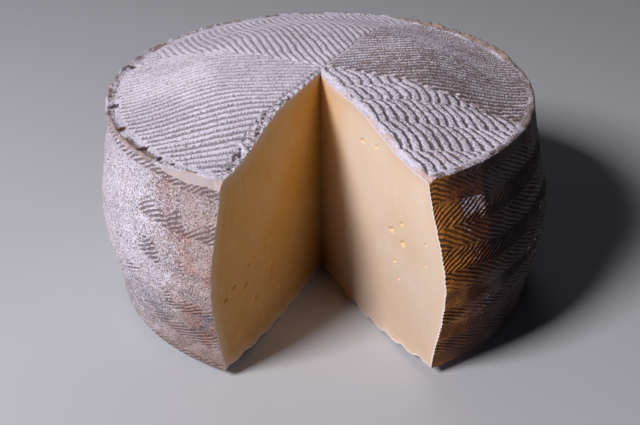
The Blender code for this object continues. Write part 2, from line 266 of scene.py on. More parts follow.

# %% [markdown]
# ## The carved top
# The upper board of the mould is carved in four fields that meet near the middle. At the back left are
# plain slanting ridges, at the left long ridges beaded like stitching, at the back right rows of fine
# ticks, and at the front right rows of curved leaves laid over each other like shingles.
#
# Each field is one function. It gives the height of its relief, how hollow it is, a beat that counts
# the dashes along a ridge, and how strongly those dashes are beaten in. The hollows are later darkened,
# partly as dirt and partly as painted shade.
# A field's turn is the direction of its ridges, its pitch is the distance from one to the next, and
# its height scales its relief.

# %% Fields of ridges
TOP_CENTRE = (0.0020, -0.0040)
FIELD_TURNS = {"back_left": (61.5, 155.5), "left": (155.5, 241.5), "leaves": (241.5, 335.5),
               "back_right": (335.5, 421.5)}
SEAM_WIDTH = 0.0009
SEAM_DEPTH = 0.00025
# How hollow the seams count, so they are darkened like the other hollows: partly dirt, partly painted shade.
SEAM_HOLLOW = 0.35
SLANT_TURN = -71.0
SLANT_PITCH = 0.0032
SLANT_HEIGHT = 0.0006
SLANT_SWELL_EVERY = 0.0105
SLANT_FADE = 0.06
STITCH_TURN = -4.0
STITCH_BEND = -1.8
STITCH_PITCH = 0.0033
STITCH_HEIGHT = 0.0008
STITCH_BEAT = 0.00125
TICK_TURN = 8.0
TICK_PITCH = 0.0028
TICK_HEIGHT = 0.0010
TICK_BEAT = 0.00130
LEAF_FIRST = 0.0044
LEAF_ROW = 0.0145
LEAF_RISE = 0.115
LEAF_SLANT = 0.0069
LEAF_SHIFTS = np.array((0.0, 0.7, 0.5, -0.1, -0.1, 0.0))
LEAF_PITCH = 0.00385
LEAF_HEIGHT = 0.000585
LEAF_GROOVE = 0.94
LEAF_FALL = 0.66


def groove_of(across, half_width, soft):
    """0 on a ridge, a half at the groove's edge and 1 in its middle; widths are in pitches."""
    off = np.abs(across - np.round(across))
    return np.clip(0.5 + (off - 0.5 + half_width) / (2 * soft), 0.0, 1.0)


def crown_of(across):
    """1 along the middle of a ridge, falling round to 0 in the middle of a groove."""
    return 1 - (2 * (across - np.round(across))) ** 2


def ridge_places(x, y, along, bend, pitch, wander, seed):
    """How many pitches a point lies across a field's ridges, and how far along them it is."""
    along = math.radians(along)
    dx, dy = x - TOP_CENTRE[0], y - TOP_CENTRE[1]
    run = dx * math.cos(along) + dy * math.sin(along)
    across = (dy * math.cos(along) - dx * math.sin(along) - bend * run**2) / pitch
    return across + wander * grain(x, y, 0.0, 0.011, seed, 2), run


def draw_line(line, seed):
    """One random number for each ridge."""
    whole = line.astype(np.int64)
    return draw(whole, whole * 0, whole * 0, seed)


def slanting_field(x, y):
    """Back left: plain ridges, rounded, thinning and thickening as they run, and fainter at the back."""
    across, run = ridge_places(x, y, SLANT_TURN, 0.0, SLANT_PITCH, 0.16, 21)
    line = np.round(across)
    swell = 0.5 + 0.5 * np.cos(2 * math.pi * (run / SLANT_SWELL_EVERY + draw_line(line, 22)))
    groove = groove_of(across, 0.24 - 0.10 * swell, 0.20)
    height = SLANT_HEIGHT * (0.35 - 0.60 * groove + 0.45 * crown_of(across) * (0.6 + 0.4 * swell))
    clear = 1 - 0.55 * smooth_step(y / SLANT_FADE) * (0.7 + 0.5 * lumps(x, y, 0.0, 0.012, 23))
    return height * clear, 0.78 * groove * (0.4 + 0.6 * clear), 0.0 * x, 0.0 * x


def stitched_field(x, y):
    """Left: long arching ridges, with a dash pressed into the groove at every stitch."""
    across, run = ridge_places(x, y, STITCH_TURN, STITCH_BEND, STITCH_PITCH, 0.10, 31)
    beat = run / STITCH_BEAT + draw_line(np.floor(across), 33) + 1.3 * lumps(x, y, 0.0, 0.004, 34)
    strength = 0.5 + 0.5 * lumps(across * STITCH_PITCH, run * 0.2, 0.0, 0.0034, 32)
    strength = strength * (0.5 + 0.7 * draw_line(np.floor(across), 36))
    strength = np.clip(strength + 0.35 * smooth_step((-0.005 - y) / 0.03), 0.0, 1.2)
    groove = groove_of(across, 0.22 + 0.07 * strength, 0.20)
    height = STITCH_HEIGHT * (0.20 - 0.62 * groove * (0.6 + 0.4 * strength) + 0.42 * crown_of(across))
    height = height + 0.00012 * grain(x, y, 0.0, 0.0018, 35, 2)
    return height, groove * (0.58 + 0.42 * strength), beat, 0.3 + 0.5 * strength


def ticked_field(x, y):
    """Back right: low rows of small leaning ticks."""
    across, run = ridge_places(x, y, TICK_TURN, 0.0, TICK_PITCH, 0.14, 41)
    row = np.round(across)
    beat = run / TICK_BEAT + 0.25 * (across - row) + draw_line(row, 42) + 0.6 * lumps(x, y, 0.0, 0.004, 44)
    groove = groove_of(across, 0.20, 0.16)
    height = TICK_HEIGHT * (0.20 - 0.50 * groove + 0.40 * crown_of(across))
    height = height + 0.00008 * grain(x, y, 0.0, 0.0016, 43, 2)
    worn = 0.26 + 0.20 * draw_line(row, 45) + 0.08 * lumps(x, y, 0.0, 0.012, 46)
    return height, worn + (1.05 - worn) * groove, beat, 0.7 * (1 - groove)


def leaf_field(x, y):
    """Front right: rows of curved leaves, each rising to its right edge and dropping to the next."""
    down = (LEAF_FIRST + LEAF_RISE * x - y) / LEAF_ROW
    down = down + 0.05 * lumps(x, y, 0.0, 0.0038, 51)
    row = np.floor(down).astype(int)
    part = down - row
    shift = LEAF_SHIFTS[np.clip(row, 0, len(LEAF_SHIFTS) - 1)]
    across = (x - TOP_CENTRE[0] - LEAF_SLANT * part * (2 - part)) / LEAF_PITCH - shift
    across = across + 0.12 * grain(x, y, 0.0, 0.006, 52, 2)
    fringe = 0.10 * lumps(x, y, 0.0, 0.0011, 53)
    step = (across + 0.5 + fringe) % 1.0
    rise = 0.75 * smooth_step(step / 0.34) + 0.25 * step
    profile = rise * (1 - smooth_step((step - LEAF_FALL) / 0.26))
    off = np.minimum(np.abs(step - LEAF_GROOVE), 1 - np.abs(step - LEAF_GROOVE))
    groove = np.clip(0.5 + (0.150 + 0.05 * (1 - part) - off) / 0.20, 0.0, 1.0)
    tip = 1 - smooth_step(np.minimum(part, 1 - part) / 0.06)
    height = LEAF_HEIGHT * (profile - 0.55) * (1 - 0.4 * tip) - 0.0001 * tip
    height = height + 0.00016 * grain(x, y, 0.0, 0.0013, 54, 2)
    return height, np.maximum(groove, tip * (0.15 + 0.30 * groove)), 0.0 * x, 0.0 * x


FIELDS = {"back_left": slanting_field, "left": stitched_field,
          "leaves": leaf_field, "back_right": ticked_field}


def carved_relief(x, y):
    """Height, hollowness, beat and beatenness of the four fields together; they meet in narrow seams."""
    dx, dy = x - TOP_CENTRE[0], y - TOP_CENTRE[1]
    reach = np.hypot(dx, dy)
    angle = np.degrees(np.arctan2(dy, dx)) + 2.5 * grain(x, y, 0.0, 0.006, 55, 2) * reach / 0.05
    height, hollow, beat, beaten = (np.zeros_like(x) for _ in range(4))
    for name, (start, end) in FIELD_TURNS.items():
        inside = (angle - start) % 360
        here = inside < end - start
        gap = np.minimum(np.minimum(inside, end - start - inside), 90)
        seam = 1 - smooth_step(reach * np.sin(np.radians(gap)) / SEAM_WIDTH)[here]
        made = FIELDS[name](x[here], y[here])
        height[here] = made[0] * (1 - seam) - SEAM_DEPTH * seam
        hollow[here] = np.maximum(made[1] * (1 - 0.5 * seam), SEAM_HOLLOW * seam)
        beat[here], beaten[here] = made[2], made[3] * (1 - seam)
    return height, hollow, beat, beaten


patch = np.meshgrid(np.linspace(-0.06, 0.06, 60), np.linspace(-0.06, 0.06, 60))
print("the relief is up to", round(1000 * float(np.ptp(carved_relief(*patch)[0])), 2), "mm deep")

# %% [markdown]
# ## The dome and its lip
# The top is a low dome that drops at its shoulder. Where the lid met the band, curd squeezed up into
# the joint and left a lip: a thin crumbly wall on the left with pits behind it, a lumpy ledge at the
# back right, and almost nothing at the front right. At the front left the lip broke away and left a
# smooth bare slope. One height over the plan holds all of it, so the dome and the lip can't come apart.
#
# The knife left its marks on the top as well. Beside the right cut it smeared a narrow band of paste
# over the ridges, and beside the left cut it broke the rind into a strip of crumbs.

# %% The height of the top
CENTRE_HEIGHT = 0.0971
CROWN_DROP = 0.0011
SHOULDER_DROP = 0.0092
SHOULDER_START = 0.45
SHOULDER_END = 0.95
TOP_SLOPE = 0.0186
CARVED_RADIUS = 0.0852
CARVED_MORE = 0.0024
FRONT_RIGHT = (-90, 12)
LEDGE = (17, 56)
BACK_WALL = (64, 130)
LEFT_WALL = (146, 222)
BROKEN_LIP = (234, 270)
LIP_ANGLE = math.radians(170)
LIP_SPREAD = 0.0012
LIP_LEAST = 0.0003
LIP_HEIGHTS = ((LEFT_WALL, 8, 0.0006), (BACK_WALL, 12, 0.0004), (LEDGE, 2, 0.0016))
WALL_WIDTH = 0.0007
LEDGE_WIDTH = 0.0012
EDGE_ROUND = 0.0012
EDGE_DROP = 0.0005
TURN_STEP = 0.0016
SLOPE_START = 0.0884
SLOPE_FALL = 0.80
SMEAR_WIDTH = 0.0028
SMEAR_LUMPS = 0.00030
STRIP_WIDTH = 0.0062
STRIP_LUMPS = 0.00034
CUT_SAG = 0.0009
CUT_SAG_WIDTH = 0.0022
PIT_RADIUS = 0.0870
PIT_DEPTH = 0.0008
PITS = ((165, 0.0009), (183, 0.0011), (192.5, 0.0015), (206.5, 0.0017), (220, 0.0014), (227, 0.0012),
        (231.5, 0.0011), (238.5, 0.0006))


def cut_gaps(x, y):
    """How far a point is from the right cut and from the left cut, in plan."""
    dx, dy = x - CUT_POINT[0], y - CUT_POINT[1]
    part = np.hypot(dx, dy) / RIM_RADIUS
    bow = 4 * part * (1 - part)
    return (np.abs(dy * math.cos(RIGHT_CUT) - dx * math.sin(RIGHT_CUT) - RIGHT_SWELL * bow),
            np.abs(dy * math.cos(LEFT_CUT) - dx * math.sin(LEFT_CUT) - LEFT_SWELL * bow))


def dome_height(x, y):
    """The smooth dome, before anything is pressed into it."""
    share = np.hypot(x, y) / RIM_RADIUS
    shoulder = smooth_step((share - SHOULDER_START) / (SHOULDER_END - SHOULDER_START))
    return CENTRE_HEIGHT - CROWN_DROP * share**2 - SHOULDER_DROP * shoulder + TOP_SLOPE * y


def rim_radius(turn):
    """The radius of the top's outer edge: the lip leans out on the left."""
    angle = np.radians(turn)
    share = np.maximum(0.0, np.cos(angle - LIP_ANGLE))
    share = share * (0.75 + 0.25 * np.sin(7 * angle) * np.sin(4 * angle))
    return RIM_RADIUS + LIP_SPREAD * share + 0.00025 * grain(turn * TURN_STEP, 0.0, 0.0, 0.005, 61, 2)


def bare_slope(turn):
    """Where the lip broke away: 1 at the front left, and the radius where that slope starts."""
    bare = between(turn, *BROKEN_LIP, 7)
    start = SLOPE_START - 0.0011 * smooth_step((turn - 230) / 12)
    return bare, start + 0.0006 * lumps(turn * TURN_STEP, 0.0, 0.0, 0.004, 62)


def lip_wall(turn, radius, edge, crumbs, clods):
    """How high the crumbly lip stands over the dome."""
    proud = LIP_LEAST
    for stretch, blur, height in LIP_HEIGHTS:
        proud = proud + height * between(turn, *stretch, blur)
    width = WALL_WIDTH + LEDGE_WIDTH * between(turn, *LEDGE, 4)
    ragged = np.maximum(0.20, 0.75 + 0.60 * crumbs + 0.30 * clods)
    return ragged * proud * bump(radius, edge - width, width)


def lip_pockets(x, y, turn, crumbs, clods):
    """Hollows behind the lip: faint ones nearly all the way round, and deep ragged pits on the left."""
    line = bump(np.hypot(x, y), PIT_RADIUS + 0.0008 * crumbs, 0.0008)
    line = line * smooth_step(2.4 * lumps(x, y, 0.0, 0.0036, 65) - 0.1)
    pocket = 0.25 * line * between(turn, -70, 236, 10)
    for pit_turn, pit_size in PITS:
        pit_angle = math.radians(pit_turn)
        away = np.hypot(x - PIT_RADIUS * math.cos(pit_angle), y - PIT_RADIUS * math.sin(pit_angle))
        away = away * (1 + 0.55 * clods + 0.35 * crumbs)
        pocket = np.maximum(pocket, bump(away, 0.0, pit_size))
    return pocket


def top_surface(x, y):
    """The whole top out to its edge: height and the marks that its material needs."""
    radius, turn = np.hypot(x, y), turn_of(x, y)
    edge = rim_radius(turn)
    right_gap, left_gap = cut_gaps(x, y)
    crumbs = grain(x, y, 0.0, 0.0042, 64, 3)
    clods = grain(x, y, 0.0, 0.0020, 67, 3)
    ragged = 0.0006 * grain(x, y, 0.0, 0.0045, 63, 2)
    smear = smooth_step((SMEAR_WIDTH + 0.0012 * crumbs - right_gap) / 0.0010) * (turn < 0)
    strip_width = STRIP_WIDTH * smooth_step((radius - 0.015) / 0.045) + 0.0016 * crumbs
    strip = smooth_step((strip_width - left_gap) / 0.0020) * (turn > 180)
    strip = strip * smooth_step((radius - 0.012) / 0.01)
    carved = CARVED_RADIUS + CARVED_MORE * between(turn, *FRONT_RIGHT, 5) + ragged
    carved = smooth_step((carved - radius) / 0.0012) * (1 - 0.8 * smear)

    height, hollow, beat, beaten = carved_relief(x, y)
    height = dome_height(x, y) + height * carved * (1 - 0.25 * strip)
    height = height + STRIP_LUMPS * strip * (clods - 0.3)
    height = height + SMEAR_LUMPS * smear * (crumbs + clods - 0.8)
    height = height - CUT_SAG * smooth_step(1 - right_gap / CUT_SAG_WIDTH) * (turn < 0)
    hollow = hollow * carved * (1 - smear)
    hollow = np.maximum(hollow * (1 - 0.5 * strip), 0.75 * strip * smooth_step(-0.1 - 1.3 * clods))

    bare, slope_start = bare_slope(turn)
    pocket = lip_pockets(x, y, turn, crumbs, clods)
    height = height + lip_wall(turn, radius, edge, crumbs, clods) * (1 - bare) - PIT_DEPTH * pocket
    hollow = np.maximum(hollow, 0.95 * smooth_step(1.6 * pocket))

    slope = np.maximum(0.0, radius - slope_start) * bare
    smooth = smooth_step(slope / 0.0007)
    height = height - SLOPE_FALL * slope
    height = height + (1 - smooth) * 0.00006 * grain(x, y, 0.0, 0.0010, 66, 2)
    height = height - EDGE_DROP * smooth_step((radius - edge + EDGE_ROUND) / EDGE_ROUND)
    return {"z": height, "hollow": hollow * (1 - smooth), "bare": smooth, "beat": beat,
            "beaten": beaten * carved * (1 - strip), "smear": smear, "strip": strip}


print("the dome stands", round(1000 * float(dome_height(np.array([0.0]), np.array([0.0]))[0]), 1), "mm high")

# %% [markdown]
# ## The plaited side
# The grass band leaves ten rows of slanting strokes. They lean one way in one row and the other way in
# the next, which makes the herringbone. Each row also bulges a little between its edges, and the whole
# side swells at the belly and leans slightly forward. The strokes are a wave over the distance round
# the wheel and the height, with its slope turned round in every other row.
#
# The strokes aren't equally clear everywhere. They are sharp on the right and just under the lip, and
# on the left the mould has grown over most of them.

# %% The radius of the side
FOOT_RADIUS = 0.0936
BELLY = 0.0048
FOOT_RISE = 0.0043
BELLY_LEAN = (0.0005, -0.0047)
FOOT_LEAN = (0.0015, -0.0039)
NECK_DEPTH = 0.0006
BRAID_ROWS = 10
ROW_GROOVE = 0.00032
SIDE_WAVES = 0.00018
SIDE_HEIGHT = 0.0850
ROUND_RADIUS = 0.0930
STROKE_SLOPE = math.tan(math.radians(29))
STROKE_PITCH = 0.00185
STROKE_HEIGHT = 0.000325
MOULD_LUMPS = 0.00026
BROAD_LUMPS = 0.00030


def lean(share):
    """How far the middle of the side is pushed off the axis at a share of its height."""
    middle = 4 * share * (1 - share)
    return (BELLY_LEAN[0] * middle + FOOT_LEAN[0] * (1 - share),
            BELLY_LEAN[1] * middle + FOOT_LEAN[1] * (1 - share))


def stroke_clearness(turn, share, along, up_side, slant):
    """How clear the strokes are, from 0.05 to 1, with noise in two sizes."""
    clear = 0.42 + 0.55 * grain(along, up_side, 0.0, 0.013, 73, 2)
    clear = clear + 0.35 * grain(along, up_side, 0.0, 0.005, 77, 2)
    clear = clear + 0.45 * between(turn, -90, 60, 30) + 0.75 * bump(share, 0.97, 0.04)
    clear = clear - 0.34 * between(turn, 165, 218, 16) - 0.14 * between(turn, 165, 250, 20)
    third_row = 0.45 * bump(share, 0.76, 0.07) * bump(turn, 242, 18)
    clear = clear + between(turn, 200, 250, 20) * (0.35 * slant - 0.10 + third_row)
    clear = clear + 0.30 * between(turn, 226, 264, 12) * smooth_step((0.60 - share) / 0.30)
    return np.clip(clear, 0.05, 1.0)


def strokes(turn, share):
    """The braid: how far out it stands, how hollow it is, how clear it is and which row it belongs to."""
    along = np.radians(turn) * ROUND_RADIUS
    up_side = share * SIDE_HEIGHT
    rows = (1 - share) * BRAID_ROWS + 0.5 + 0.38 * smooth_step((-46 - turn) / 16)
    rows = rows + 0.08 * lumps(along, up_side, 0.0, 0.014, 71)
    row = np.floor(rows)
    slant = np.where(row % 2 == 0, 1.0, -1.0)
    across = (up_side - slant * along * STROKE_SLOPE) / STROKE_PITCH
    across = across + row * 0.37 + 0.34 * grain(along, up_side, row * 0.01, 0.014, 72, 2)
    across = across + 0.16 * lumps(along, up_side, row * 0.01, 0.0036, 78)
    wave = np.cos(2 * math.pi * across)
    ends = smooth_step(np.minimum(rows - row, 1 - rows + row) / 0.08)
    clear = stroke_clearness(turn, share, along, up_side, slant)
    stand = wave * (0.25 + 0.75 * ends) * clear
    broken = 0.22 * lumps(along, up_side, 0.0, 0.0017, 76)
    hollow = np.clip(0.52 - 0.62 * wave + broken, 0.0, 1.0) * (0.55 + 0.45 * ends) * clear
    return stand, hollow, clear, row


def side_radius(turn, share):
    """Radius of the side round its leaning middle, how hollow it is there, and the row of the braid."""
    angle = np.radians(turn)
    along, up_side = angle * ROUND_RADIUS, share * SIDE_HEIGHT
    fade = np.sqrt(np.maximum(0.0, np.sin(math.pi * share)))
    stand, hollow, clear, row = strokes(turn, share)
    radius = FOOT_RADIUS + (rim_radius(turn) - FOOT_RADIUS) * share + BELLY * np.sin(math.pi * share) ** 2
    radius = radius - NECK_DEPTH * bump(share, 0.90, 0.06) * between(turn, 110, 230, 20)
    relief = STROKE_HEIGHT * (stand - 0.4) - ROW_GROOVE * np.abs(np.sin(math.pi * BRAID_ROWS * share))
    relief = relief + SIDE_WAVES * (np.sin(3 * angle + 9 * share) + 0.4 * np.sin(8 * angle - 14 * share))
    relief = relief + MOULD_LUMPS * (1 - 0.6 * clear) * grain(along, up_side, 0.0, 0.0026, 74, 3)
    relief = relief + BROAD_LUMPS * lumps(along, up_side, 0.0, 0.011, 75)
    return radius + relief * fade, hollow, row


test_turns = np.linspace(-60, 240, 200)
belly_radius = float(side_radius(test_turns, 0.5 + 0 * test_turns)[0].mean())
print("the belly is", round(2000 * belly_radius, 1), "mm across")

# %% [markdown]
# ## The underside
# The lower board is carved too, more coarsely: four quarters of straight ridges with flat tops, round a
# small plain middle. The wheel stands on those flat tops. Towards the edge the underside curls up, so
# the ridges show as scallops along the foot of both cuts.

# %% The height of the underside
FLAT_FOOT = 0.0495
FOOT_PITCH = 0.0058
FOOT_DEPTH = 0.0011
FOOT_CREST = 0.30
FOOT_PLAIN_RADIUS = 0.0120
FOOT_EDGE = 0.0890
FOOT_ROUGHNESS = 0.00008


def foot_surface(x, y):
    """Height and hollowness of the underside; zero is what the wheel stands on."""
    radius = np.hypot(x, y)
    edge_radius = np.hypot(x - FOOT_LEAN[0], y - FOOT_LEAN[1])
    curl = FOOT_RISE * np.maximum(0.0, (radius - FLAT_FOOT) / (FOOT_RADIUS - FLAT_FOOT)) ** 2
    curl = curl + (FOOT_RISE - curl) * smooth_step((edge_radius - FOOT_EDGE) / (FOOT_RADIUS - FOOT_EDGE))
    across = np.where(np.abs(y) > np.abs(x), x, y) / FOOT_PITCH
    across = across + 0.05 * grain(x, y, 0.0, 0.012, 81, 2)
    dip = (FOOT_CREST - np.minimum(FOOT_CREST, np.cos(2 * math.pi * across))) / (1 + FOOT_CREST)
    pressed = smooth_step((radius - FOOT_PLAIN_RADIUS) / 0.0012)
    pressed = pressed * smooth_step((FOOT_EDGE + 0.003 - edge_radius) / 0.0025)
    rough = FOOT_ROUGHNESS * (1 + grain(x, y, 0.0, 0.0022, 82, 3)) * smooth_step(dip + (radius > FLAT_FOOT))
    height = curl + FOOT_DEPTH * dip * pressed + np.maximum(0.0, rough)
    return height, 0.7 * dip * pressed


print("the foot curls up", 1000 * FOOT_RISE, "mm at its edge")

# %% [markdown]
# ## Rings over the whole rind
# The rind is one skin: out over the top, down the side and in under the foot. It is laid as rings of
# points on the rays. Near the cut's point the rays crowd together, so the number of points in a ring
# halves again and again towards the middle, which keeps the triangles even and their number low.

# %% Lay the rings
COLUMNS = 1024
FEWEST_COLUMNS = 64
TOP_RINGS = {1024: 96, 512: 48, 256: 24, 128: 12, 64: 12}
LIP_RINGS = 16
LIP_RINGS_START = 0.0836
SIDE_ROWS = 236
FOOT_RINGS = {512: 76, 256: 36, 128: 18, 64: 14}
MARKS = ("z", "hollow", "bare", "beat", "beaten", "smear", "strip", "row")


def ring_shares(columns):
    """The rays that a ring's points lie on."""
    return np.linspace(0.0, 1.0, columns + 1)


def inner_rings(ring_counts, length_at, surface):
    """Rings from the cut's point out to an edge, as dictionaries; the first is the point itself."""
    made = [{"share": np.array([0.0]), "distance": np.array([0.0])}]
    outer = 1.0
    plan = []
    for columns, count in ring_counts.items():
        inner = outer / 2 if columns > FEWEST_COLUMNS else 0.0
        plan = [(columns, inner + (outer - inner) * step / count) for step in range(1, count + 1)] + plan
        outer = inner
    for columns, part in plan:
        share = ring_shares(columns)
        made.append({"share": share, "distance": part * length_at(share)})
    for ring in made:
        ring["x"], ring["y"] = ray_point(ring["share"], ring["distance"])
        ring.update(surface(ring["x"], ring["y"]))
    return made


def with_marks(part, x, known):
    """All marks of a ring: those that are known, and zero for the others."""
    made = {mark: np.zeros_like(x) for mark in MARKS}
    made.update(known)
    made["part"] = np.full_like(x, part)
    return made


def top_marks(x, y):
    """The marks of points on the top, whose part is 1."""
    return with_marks(1.0, x, top_surface(x, y))


def foot_marks(x, y):
    """The marks of points on the underside, whose part is -1; the side's part is 0."""
    height, hollow = foot_surface(x, y)
    return with_marks(-1.0, x, {"z": height, "hollow": hollow})


def carved_edge(turn):
    """The radius where the closer rings of the lip begin."""
    return np.full_like(turn, LIP_RINGS_START)


rings = inner_rings(TOP_RINGS, lambda share: ray_length(share, carved_edge), top_marks)

fine_share = ring_shares(COLUMNS)
for step in range(1, LIP_RINGS + 1):
    part = step / LIP_RINGS

    def lip_edge(turn, part=part):
        return carved_edge(turn) + (rim_radius(turn) - carved_edge(turn)) * part

    distance = ray_length(fine_share, lip_edge)
    x, y = ray_point(fine_share, distance)
    rings.append({"share": fine_share, "distance": distance, "x": x, "y": y, **top_marks(x, y)})

rim = rings[-1]
for step in range(1, SIDE_ROWS + 1):
    share = np.full_like(fine_share, 1 - step / SIDE_ROWS)
    centre = lean(share)
    distance = ray_length(fine_share, lambda turn, share=share: side_radius(turn, share)[0], centre)
    x, y = ray_point(fine_share, distance)
    turn = turn_of(x - centre[0], y - centre[1])
    _, hollow, row = side_radius(turn, share)
    height = FOOT_RISE + (rim["z"] - FOOT_RISE) * share
    rings.append({"share": fine_share, "distance": distance, "x": x, "y": y,
                  **with_marks(0.0, x, {"z": height, "hollow": hollow, "row": row})})

foot_length = rings[-1]["distance"]


def foot_edge(share):
    """How far along a ray the side meets the underside."""
    return np.interp(share, fine_share, foot_length)


foot_rings = inner_rings(FOOT_RINGS, foot_edge, foot_marks)
rings += foot_rings[:-1][::-1]
print(len(rings), "rings with", sum(len(ring["x"]) for ring in rings), "points")

# %% [markdown]
# ## From rings to a skin
# Neighbouring rings with as many points are joined by squares, and where the number halves by three
# triangles a step. The skin is shaded smoothly as a whole before it is cut into pieces, so the joins
# between pieces can't be seen. Pieces are needed only because one mesh with everything would be heavy.

# %% Join the rings
BOX_MARGIN = 1e-5

starts = np.cumsum([0] + [len(ring["x"]) for ring in rings])
skin = {key: np.concatenate([ring[key] for ring in rings])
        for key in ("x", "y", "part", "distance", "share", *MARKS)}


def corners_of(*triangles):
    """An array of triangles from groups of three corners, each group a run of equal length."""
    return np.concatenate([np.stack(triangle, 1) for triangle in triangles])


def join_rings(first, second, first_start, second_start):
    """Triangles between two rings; each ring's points run from the right cut to the left cut."""
    n, m = len(first) - 1, len(second) - 1
    if n == 0:
        b = second_start + np.arange(m)
        return corners_of((np.full_like(b, first_start), b, b + 1))
    if m == 0:
        a = first_start + np.arange(n)
        return corners_of((a, np.full_like(a, second_start), a + 1))
    if n == m:
        a = first_start + np.arange(n)
        b = second_start + np.arange(n)
        return corners_of((a, b, b + 1), (a, b + 1, a + 1))
    if m == 2 * n:
        a = first_start + np.arange(n)
        b = second_start + 2 * np.arange(n)
        return corners_of((a, b, b + 1), (a, b + 1, a + 1), (a + 1, b + 1, b + 2))
    a = first_start + 2 * np.arange(m)
    b = second_start + np.arange(m)
    return corners_of((a, b, a + 1), (a + 1, b, b + 1), (a + 1, b + 1, a + 2))


triangles = np.concatenate([
    join_rings(rings[number]["x"], rings[number + 1]["x"], starts[number], starts[number + 1])
    for number in range(len(rings) - 1)
])
points = np.stack([skin["x"], skin["y"], skin["z"]], 1)
low = np.array(solid_low) + BOX_MARGIN
high = np.array(solid_high) - BOX_MARGIN
points = np.clip(points, low, high)


def vertex_normals(points, triangles):
    """Smooth normals: each triangle adds its own, weighted by its area."""
    a, b, c = (points[triangles[:, corner]] for corner in range(3))
    facing = np.cross(b - a, c - a)
    made = np.zeros_like(points)
    for corner in range(3):
        np.add.at(made, triangles[:, corner], facing)
    return made / np.maximum(np.linalg.norm(made, axis=1, keepdims=True), 1e-12)


normals = vertex_normals(points, triangles)
print(len(triangles), "triangles in the rind")

# %% [markdown]
# ## Where the rind is pale, brown or amber
# The bloom of mould is thick on the top and the left, thin at the back right of the top, and hardly
# there on the right-hand side, where the brown ground shows. That brown is made very dark: partly the
# rind's own colour and partly painted shade, as that side faces away from the light. The crests of its
# strokes get a pale lilac, most in one row beside the right cut, which is partly a thin bloom and partly
# a painted highlight. Beside the right cut that ground turns amber, and beside the left cut it blushes
# salmon. These are broad, soft regions, so they are worked out for each point here, and the material
# breaks them up into specks.
#
# Each point gets a colour for the ground and some marks. The mark "bloom" is how much mould there is,
# with the painted highlight on the right-hand crests, "thin" how far the ground shows through it, "dirt"
# how many dark specks there are, and the hollows mark how dark the hollows are made, partly as dirt and
# partly as painted shade.

# %% Regions of colour
# The deep brown is partly the rind's own colour and partly painted shade on the right-hand side.
BROWN_AND_PAINTED_SHADE = (0.040, 0.017, 0.012)
RED_BROWN = (0.200, 0.050, 0.016)
TAUPE = (0.330, 0.250, 0.245)
WARM_BEIGE = (0.440, 0.335, 0.320)
SLATE = (0.220, 0.205, 0.235)
AMBER = (0.600, 0.220, 0.032)
SALMON = (0.440, 0.245, 0.215)
TAN = (0.400, 0.285, 0.225)
RUST = (0.620, 0.210, 0.030)
PEACH = (0.700, 0.500, 0.430)
RED_REACH = 0.034
AMBER_REACH = 0.0165
BLUSH_REACH = 0.026
PALE_CUT_REACH = 0.040
# The row of right-hand strokes whose crests get the strongest painted highlight.
HIGHLIGHT_ROW = 2
LIP_BAND_START = 0.0884
CREST_WIDTH = 0.0011
RUST_SPOTS = ((-0.0780, -0.0390, 0.0022), (-0.0680, -0.0570, 0.0018), (0.0450, -0.0660, 0.0040),
              (0.0160, -0.0390, 0.0022))


def blend(colours, over, share):
    """Lays one colour over others by a share for each point."""
    share = np.clip(share, 0.0, 1.0)[:, None]
    return colours * (1 - share) + np.array(over) * share


def ray_gap(share):
    """How far each point is from the cut that a share of the rays is counted from."""
    return skin["distance"] * np.sin(np.minimum((LEFT_CUT - RIGHT_CUT) * share, 1.5))


x, y, z = points.T
turn = turn_of(x, y)
radius = np.hypot(x, y)
angle = np.degrees(np.arctan2(y - TOP_CENTRE[1], x - TOP_CENTRE[0]))
patches = grain(x, y, z, 0.014, 91, 3)
spots = grain(x, y, z, 0.0045, 92, 3)
right_gap = ray_gap(skin["share"])
left_gap = ray_gap(1 - skin["share"])
hollow = np.clip(skin["hollow"], 0.0, 1.0)
bare, smear, strip = skin["bare"], skin["smear"], skin["strip"]

top, side, foot = skin["part"] > 0.5, np.abs(skin["part"]) < 0.5, skin["part"] < -0.5
right_side = side * between(turn, -90, 62, 32)
left_side = side * (1 - right_side)
back_right = top * smooth_step((angle + 29) / 5) * smooth_step((76 - angle) / 22)
leaves = top * smooth_step((-22 - angle) / 5) * (turn < 0)
lip_start = LIP_BAND_START - 0.0016 * between(turn, *LEDGE, 4) - 0.0010 * between(turn, 150, 240, 8)
lip_band = top * between(radius, lip_start, 0.1, 0.0010)
crest_band = top * between(turn, 140, 222, 8)
crest_band = crest_band * smooth_step((radius - rim_radius(turn) + CREST_WIDTH) / 0.0005)
pit_band = top * (turn > 155) * between(radius, 0.0852, 0.0888, 0.0005)
near_cut = smooth_step((PALE_CUT_REACH - left_gap + 0.008 * patches) / 0.035)
blush = smooth_step((BLUSH_REACH - left_gap + 0.010 * patches) / 0.02)
blush = blush * smooth_step(0.2 + 1.3 * spots + 0.6 * patches)
red = smooth_step((RED_REACH - right_gap + 0.012 * patches + 0.003 * spots) / 0.022)
amber = smooth_step((AMBER_REACH - right_gap + 0.006 * patches + 0.003 * spots) / 0.014)
slate = smooth_step(0.4 + 1.2 * patches) * smooth_step((0.075 - z) / 0.03)
low_tan = left_side * smooth_step((0.018 - z + 0.006 * patches) / 0.01)
lip_tan = lip_band * (0.65 + 0.5 * spots) * (0.35 + 0.65 * between(turn, *LEDGE, 4))

